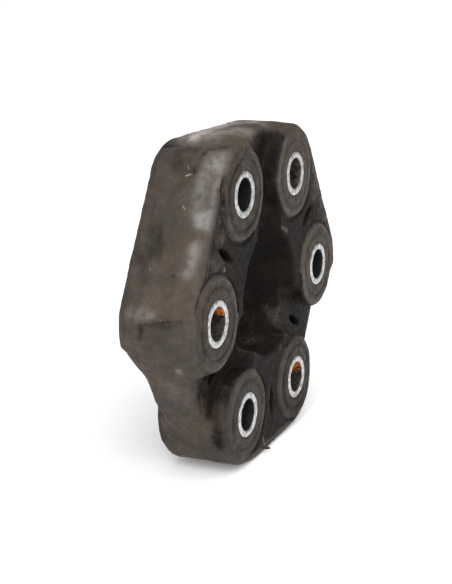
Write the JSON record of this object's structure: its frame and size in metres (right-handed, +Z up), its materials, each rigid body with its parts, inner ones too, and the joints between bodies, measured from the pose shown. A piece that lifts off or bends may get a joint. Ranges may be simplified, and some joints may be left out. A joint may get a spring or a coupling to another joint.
{
  "type": "driveshaft flex disc",
  "caption": "Hexagonal rubber coupling disc with rounded corners, a large centre hole, round bosses over steel bolt sleeves, and valleys between alternate bosses.",
  "frame": {"origin": "on the shaft axis, half way through the disc", "axes": "-Y along the shaft axis out of the front face, +Z up as the disc stands on the outer flat of a strong link, +X through a bolt sleeve"},
  "size_m": [0.1366, 0.0308, 0.1238],
  "materials": {
    "rubber": "worn matt moulded rubber with road dust",
    "sleeve_steel": "bright worn ends, dull bore with some rust",
    "collar_steel": "plain pressed steel, hidden in the rubber",
    "cord": "wound polyester cord, hidden in the rubber"
  },
  "bodies": {
    "root": {"rubber_body": "rubber", "sleeve_1": "sleeve_steel", "sleeve_2": "sleeve_steel", "sleeve_3": "sleeve_steel", "sleeve_4": "sleeve_steel", "sleeve_5": "sleeve_steel", "sleeve_6": "sleeve_steel", "collar_front_1": "collar_steel", "collar_back_1": "collar_steel", "collar_front_2": "collar_steel", "collar_back_2": "collar_steel", "collar_front_3": "collar_steel", "collar_back_3": "collar_steel", "collar_front_4": "collar_steel", "collar_back_4": "collar_steel", "collar_front_5": "collar_steel", "collar_back_5": "collar_steel", "collar_front_6": "collar_steel", "collar_back_6": "collar_steel", "divider_front_1": "collar_steel", "divider_back_1": "collar_steel", "divider_front_2": "collar_steel", "divider_back_2": "collar_steel", "divider_front_3": "collar_steel", "divider_back_3": "collar_steel", "divider_front_4": "collar_steel", "divider_back_4": "collar_steel", "divider_front_5": "collar_steel", "divider_back_5": "collar_steel", "divider_front_6": "collar_steel", "divider_back_6": "collar_steel", "strong_loop_front_1": "cord", "strong_loop_back_1": "cord", "strong_loop_front_2": "cord", "strong_loop_back_2": "cord", "strong_loop_front_3": "cord", "strong_loop_back_3": "cord", "weak_loop_1": "cord", "weak_loop_2": "cord", "weak_loop_3": "cord"}
  },
  "joints": []
}
